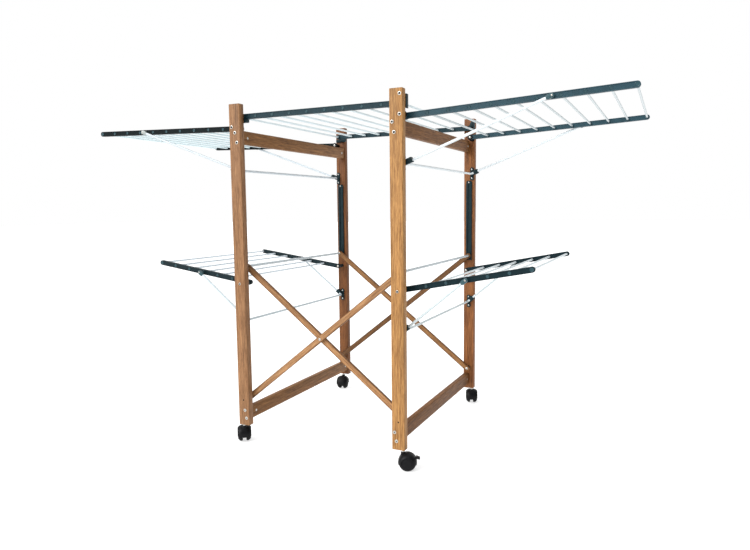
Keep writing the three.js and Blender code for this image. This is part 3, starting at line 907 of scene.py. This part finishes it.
def shelf():
    """Middle shelf: two rails on hangers at the right, rods between them."""
    z = z_at(SHELF_Z)
    p, q = (SHELF_X[0] - HALF_X, z), (SHELF_X[1] - HALF_X, z)
    step = (SHELF_X[1] - SHELF_X[0]) / (SHELF_RODS - 1)
    stops = [step * k for k in range(SHELF_RODS)]
    pin = JOINTS["shelf_swing"]["pos_m"]
    for end, node in (("front", "shelf_rail"), ("back", "shelf_rods")):
        y0, y1 = y_at(end, SHELF_Y[0]), y_at(end, SHELF_Y[1])
        plastic_rail(f"shelf_rail_{end}", node, "shelf", p, q, y0, y1, end, stops,
                     LIT_AND_SHADED_GREENS["shelf"])
        bm = bmesh.new()
        face = y_at(end, POST_T + GAP)
        half = abs(y0 - face) / 2
        place = along(q, (pin[0], pin[2]), (y0 + face) / 2)
        add_prism(bm, stadium(span(q, (pin[0], pin[2])), HANGER_HALF), -half, half, 0.8 * MM)
        finish_piece(bm, f"shelf_hanger_{end}", GREEN, "shelf", matrix=place)
    reach = HALF_Y - SHELF_Y[0] - 3 * MM
    rod_set("shelf_tubes", "shelf", [(p[0] + t, z) for t in stops], -reach, reach,
            LIT_AND_SHADED_ROD_WHITES["shelf"])


def hanger_bracket(end):
    """Upright plate on the right frame that guards the shelf's hanger."""
    x0, x1 = (x_at("right", inset) for inset in BRACKET_X)
    z0, z1 = (z_at(height) for height in BRACKET_Z)
    bm = bmesh.new()
    outline = [(x0, z0), (x1, z0), (x1, z1), (x0, z1)]
    add_prism(bm, outline, y_at(end, FITTING_Y), y_at(end, BRACKET_Y), 0.8 * MM)
    finish_piece(bm, f"hanger_bracket_{end}", GREEN, "right_frame")


def hinge_plate(end):
    """Round plate that spaces the upper wing's hinge off the right frame's post."""
    hinge = JOINTS["wing_upper_right_hinge"]["pos_m"]
    bm = bmesh.new()
    at = (hinge[0], y_at(end, FITTING_Y), hinge[2])
    add_turned(bm, in_metres(HINGE_PLATE), at, (0, -ENDS[end], 0), 28)
    finish_piece(bm, f"hinge_plate_{end}", BLACK, "right_frame")


def hook(end):
    """Ledge on the left frame that the loose end of the shelf rests on: plate and tab."""
    face, plate, lip = (y_at(end, depth) for depth in (FITTING_Y, *HOOK_Y))
    plate_start, tab_start, plate_end, tab_end = (x_at("left", inset) for inset in HOOK_X)
    plate_low, tab_low = (z_at(height) for height in HOOK_Z)
    top = z_at(SHELF_Z) - RAIL_HALF - 0.4 * MM
    bm = bmesh.new()
    add_prism(bm, [(plate_start, plate_low), (plate_end, plate_low), (plate_end, top),
                   (plate_start, top)], face, plate, 0.6 * MM)
    add_prism(bm, [(tab_start, tab_low + 1 * MM), (tab_start + 1 * MM, tab_low),
                   (tab_end - 2 * MM, tab_low), (tab_end, tab_low + 2 * MM), (tab_end, top),
                   (tab_start, top)], face, lip, 0.8 * MM)
    obj = finish_piece(bm, f"shelf_bracket_{end}", GREEN, "left_frame")
    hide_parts(f"shelf_hook_{end}")


# ---- casters ----------------------------------------------------------------------

# Half sections in mm, (radius, distance from the middle): a wheel's domed side, with a step
# round its hub, and the hood outside and inside.
TYRE = [(19.0, 5.2), (21.9, 5.7), (23.3, 6.9), (24, 8.8), (24, 10.2), (23.4, 12.6),
        (21.9, 15.2), (19.6, 17.8), (17.0, 19.6), (15.8, 20.0), (15.2, 19.6), (12.6, 20.2),
        (12.0, 20.9), (6, 21.0)]
HOOD_OUT = [(26.6, 0), (26.6, 6.5), (26.0, 10.5), (24.6, 14.4), (22.6, 17.6), (19.9, 20.3),
            (18.4, 21.4)]
HOOD_IN = [(17.3, 20.9), (19.6, 18.9), (21.9, 16.2), (23.6, 13.0), (24.5, 9.8), (24.6, 0)]
NECK = [(0, 43), (6.5, 43), (6.5, 50.5), (5.9, 52), (4.6, 53), (0, 53)]
STEM = [(0, 52), (3.9, 52), (3.9, 57.6), (5.6, 57.8), (5.6, 58.7), (0, 58.7)]
BRAKE_TAB = [(0, -1.7), (7, -1.6), (9.5, -0.8), (9.5, 0.9), (7, 1.5), (0, 1.9)]


def add_hood(bm):
    """Curved cover over both wheels, swept round their axle."""
    right = HOOD_OUT + HOOD_IN
    section = right + [(r, -y) for r, y in reversed(right) if y]
    loops = []
    for i in range(HOOD_STEPS + 1):
        a = math.radians(HOOD_SPAN[0] + (HOOD_SPAN[1] - HOOD_SPAN[0]) * i / HOOD_STEPS)
        loops.append([
            bm.verts.new((TRAIL + r * MM * math.cos(a), y * MM, WHEEL_R + r * MM * math.sin(a)))
            for r, y in section
        ])
    for one, two in zip(loops, loops[1:]):
        bridge(bm, one, two)
    bm.faces.new(loops[0])
    bm.faces.new(list(reversed(loops[-1])))


def caster(corner, turn):
    """Caster under a post, turned by an angle in degrees: body, stem and both wheels."""
    end, side = corner.split("_")
    at = (x_at(side, STEM_INSET), y_at(end, POST_T / 2), 0)
    place = Matrix.Translation(at) @ Matrix.Rotation(math.radians(turn), 4, "Z")
    bm = bmesh.new()
    add_hood(bm)
    rim = arc(16 * MM, 205, 335, 14) + arc(25.4 * MM, 20, 118, 16)
    web = [(x + TRAIL, z + WHEEL_R) for x, z in rim]
    web += [(-6 * MM, 46 * MM), (-6 * MM, 20 * MM)]
    add_prism(bm, web, -WEB_HALF, WEB_HALF, 0.8 * MM)
    add_turned(bm, in_metres(NECK), (0, 0, 0), (0, 0, 1), 28)
    obj = finish_piece(bm, f"caster_body_{corner}", BLACK, f"caster_{corner}", matrix=place)
    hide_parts(f"caster_{corner}")
    bm = bmesh.new()
    add_turned(bm, in_metres(STEM), (0, 0, 0), (0, 0, 1), 20)
    finish_piece(bm, f"caster_stem_{corner}", ZINC, f"caster_{corner}", matrix=place)
    bm = bmesh.new()
    for s in (-1, 1):
        profile = [(0, TYRE[0][1])] + TYRE + [(0, TYRE[-1][1])]
        add_turned(bm, in_metres(profile), (TRAIL, 0, WHEEL_R), (0, s, 0), 48)
    add_rod(bm, 4 * MM, -6 * MM, 6 * MM, (TRAIL, 0, WHEEL_R), (0, 1, 0), 20)
    obj = finish_piece(bm, f"caster_wheels_{corner}", TREAD, f"wheels_{corner}", matrix=place)
    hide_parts(f"wheels_{corner}")
    if corner == "front_right":
        lever(place)


def lever(place):
    """Foot tab of the brake, ribbed so that a shoe grips it."""
    a = math.radians(BRAKE_AT)
    reach = HOOD_R + 2.5 * MM
    pin = (TRAIL + reach * math.cos(a), WHEEL_R + reach * math.sin(a))
    tilt = math.radians(BRAKE_TILT)
    local = along(pin, (pin[0] + math.cos(tilt), pin[1] + math.sin(tilt)))
    bm = bmesh.new()
    add_prism(bm, in_metres(BRAKE_TAB), -BRAKE_HALF, BRAKE_HALF, 0.5 * MM)
    add_rod(bm, 2.1 * MM, -BRAKE_HALF, BRAKE_HALF, (0, 0, 0), (0, 1, 0), 16)
    for x in (3, 5, 7):
        rib = in_metres([(x, 1.3), (x + 0.9, 1.3), (x + 0.9, 2.2), (x, 2.2)])
        add_prism(bm, rib, -7 * MM, 7 * MM, 0.2 * MM)
    obj = finish_piece(bm, "brake_tab", BLACK, "brake_lever", matrix=place @ local)
    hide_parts("brake_lever")


# ---- stage ------------------------------------------------------------------------

# The studio's sky is brightest in one direction, and pale all round at eye level. The floor
# glows a little, so that it stays as pale as the sky.
BRIGHT_SIDE = (-0.42, 0.90, 0.10)
SKY_RANGE = (("From Min", -0.15), ("From Max", 0.8), ("To Min", 0.26), ("To Max", 1.0))
HORIZON_RANGE = (("From Min", 0.04), ("From Max", 0.26), ("To Min", 0.95), ("To Max", 0.0))
FLOOR_SIZE = 30
FLOOR_COLOUR = (0.55, 0.55, 0.55, 1)
FLOOR_GLOW = 0.62
PURE_WHITE = (1, 1, 1, 1)

# Lamps: name, the way that the light runs, strength, spread in degrees.
LAMPS = [
    ("key", (0.46, 0.72, -0.52), 3.1, 45),
    ("top", (0.10, 0.15, -1.0), 1.3, 80),
]


def soft_range(tree, value, settings):
    node = tree.nodes.new("ShaderNodeMapRange")
    node.interpolation_type = "SMOOTHSTEP"
    for key, number in settings:
        node.inputs[key].default_value = number
    tree.links.new(value, node.inputs["Value"])
    return node.outputs["Result"]


def with_horizon(tree, ray, level):
    """Adds a bright band all round at eye level, which fades out upward."""
    split = tree.nodes.new("ShaderNodeSeparateXYZ")
    tree.links.new(ray, split.inputs[0])
    height = tree.nodes.new("ShaderNodeMath")
    height.operation = "ABSOLUTE"
    tree.links.new(split.outputs["Z"], height.inputs[0])
    joined = tree.nodes.new("ShaderNodeMath")
    joined.operation = "MAXIMUM"
    tree.links.new(level, joined.inputs[0])
    tree.links.new(soft_range(tree, height.outputs[0], HORIZON_RANGE), joined.inputs[1])
    return joined.outputs[0]


def stage():
    """Pale floor, a bright sky and two broad soft lamps."""
    bm = bmesh.new()
    bmesh.ops.create_grid(bm, x_segments=8, y_segments=8, size=FLOOR_SIZE)
    mesh = bpy.data.meshes.new("floor")
    bm.to_mesh(mesh)
    bm.free()
    floor = bpy.data.objects.new("floor", mesh)
    mat, _, bsdf = new_material("pale_floor")
    bsdf.inputs["Base Color"].default_value = FLOOR_COLOUR
    bsdf.inputs["Roughness"].default_value = 0.9
    bsdf.inputs["Emission Color"].default_value = PURE_WHITE
    bsdf.inputs["Emission Strength"].default_value = FLOOR_GLOW
    mesh.materials.append(mat)
    bpy.context.collection.objects.link(floor)
    world = bpy.data.worlds.new("studio")
    world.use_nodes = True
    tree = world.node_tree
    sky = tree.nodes["Background"]
    facing = tree.nodes.new("ShaderNodeVectorMath")
    facing.operation = "DOT_PRODUCT"
    facing.inputs[1].default_value = BRIGHT_SIDE
    ray = tree.nodes.new("ShaderNodeTexCoord").outputs["Generated"]
    tree.links.new(ray, facing.inputs[0])
    level = soft_range(tree, facing.outputs["Value"], SKY_RANGE)
    tree.links.new(with_horizon(tree, ray, level), sky.inputs["Strength"])
    sky.inputs["Color"].default_value = PURE_WHITE
    bpy.context.scene.world = world
    for name, direction, strength, spread in LAMPS:
        lamp = bpy.data.lights.new(name, "SUN")
        lamp.energy, lamp.angle = strength, math.radians(spread)
        obj = bpy.data.objects.new(name, lamp)
        obj.rotation_mode = "QUATERNION"
        obj.rotation_quaternion = Vector(direction).to_track_quat("-Z", "Y")
        obj.location = (-2, -3, 3)
        bpy.context.collection.objects.link(obj)


# The camera: place in metres; heading, pitch and roll in radians; lens in mm.
CAMERA_AT = (0.9319, -1.9074, 0.7292)
CAMERA_TURN = (0.4400, -0.1048, -0.0115)
LENS = 30.33


def camera():
    data = bpy.data.cameras.new("camera")
    data.sensor_width = 36
    data.lens = LENS
    data.clip_end = 100
    cam = bpy.data.objects.new("camera", data)
    heading, pitch, roll = CAMERA_TURN
    cam.matrix_world = (
        Matrix.Translation(CAMERA_AT)
        @ Matrix.Rotation(heading, 4, "Z")
        @ Matrix.Rotation(math.pi / 2 + pitch, 4, "X")
        @ Matrix.Rotation(roll, 4, "Z")
    )
    bpy.context.collection.objects.link(cam)
    bpy.context.scene.camera = cam


camera()
stage()
bpy.context.scene.view_settings.view_transform = "Standard"
end_frame("left", 10)
end_frame("right", 40)
for side in SIDES:
    for level in WINGS:
        wing(level, side)
        stay(level, side)
        for end in ENDS:
            clip(level, side, end)
    for end in ENDS:
        track(side, end)
brace("a", "left", "right", SLAT_A_Y, 70)
brace("b", "right", "left", SLAT_B_Y, 80)
centre_bolts()
shelf()
for end in ENDS:
    hook(end)
    hanger_bracket(end)
    hinge_plate(end)
for corner, turn in CASTERS.items():
    caster(corner, turn)
